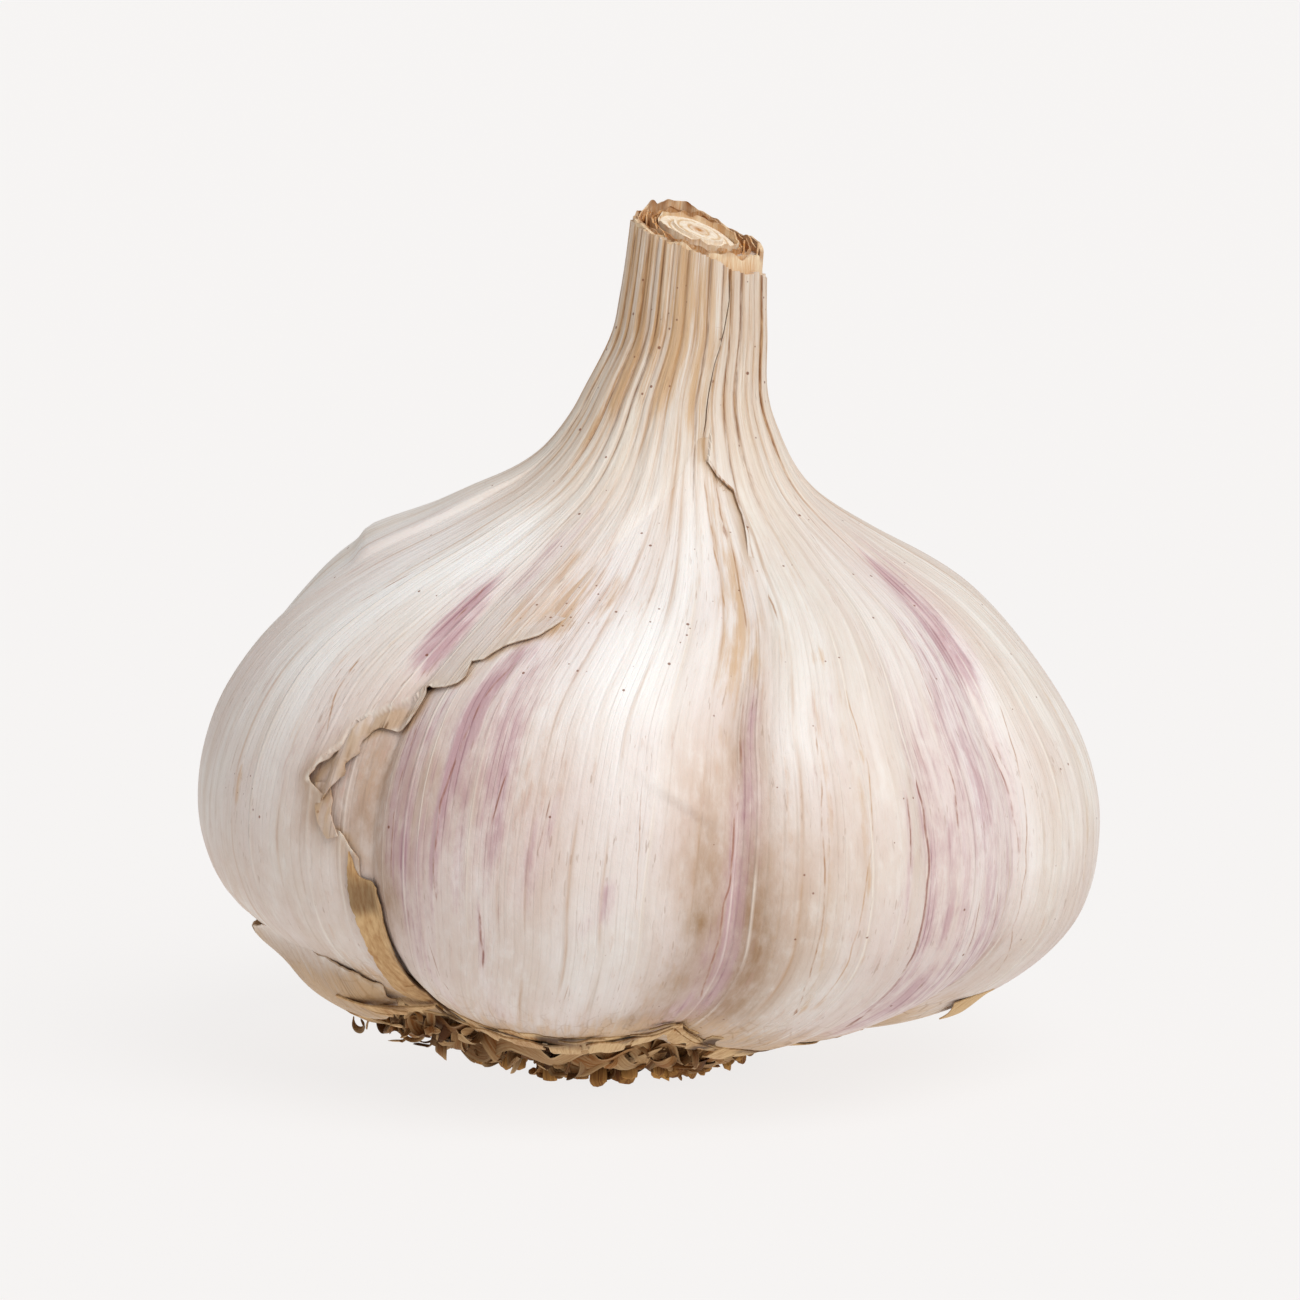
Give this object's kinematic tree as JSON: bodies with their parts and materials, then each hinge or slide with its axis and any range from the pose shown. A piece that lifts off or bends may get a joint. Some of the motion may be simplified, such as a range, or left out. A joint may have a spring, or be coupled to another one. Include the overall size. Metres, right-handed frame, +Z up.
{
  "type": "garlic bulb",
  "caption": "Whole dry garlic bulb with a cut neck, a torn papery outer skin over bulging cloves, and cropped roots that it stands on.",
  "frame": {"origin": "centre of the bounding box in X and Y, at the level of the surface that the roots stand on", "axes": "+Z up through the neck, -Y towards the torn front of the bulb, +X towards the side that the neck leans to"},
  "size_m": [0.0624, 0.06, 0.0592],
  "materials": {
    "inner_skin": "satin papery garlic skin, white to mauve",
    "outer_skin": "satin papery garlic skin, cream",
    "dried_wrapper": "matt dry tan skin",
    "neck_sheath": "matt dry leaf sheath",
    "stalk_pith": "matt dry pith",
    "dry_root": "matt dry fibrous root"
  },
  "bodies": {
    "root": {"bulb": "inner_skin", "outer_skin": "outer_skin", "base_remnant": "dried_wrapper", "inner_sheath": "neck_sheath", "flower_stalk": "stalk_pith", "root_tuft": "dry_root"}
  },
  "joints": []
}
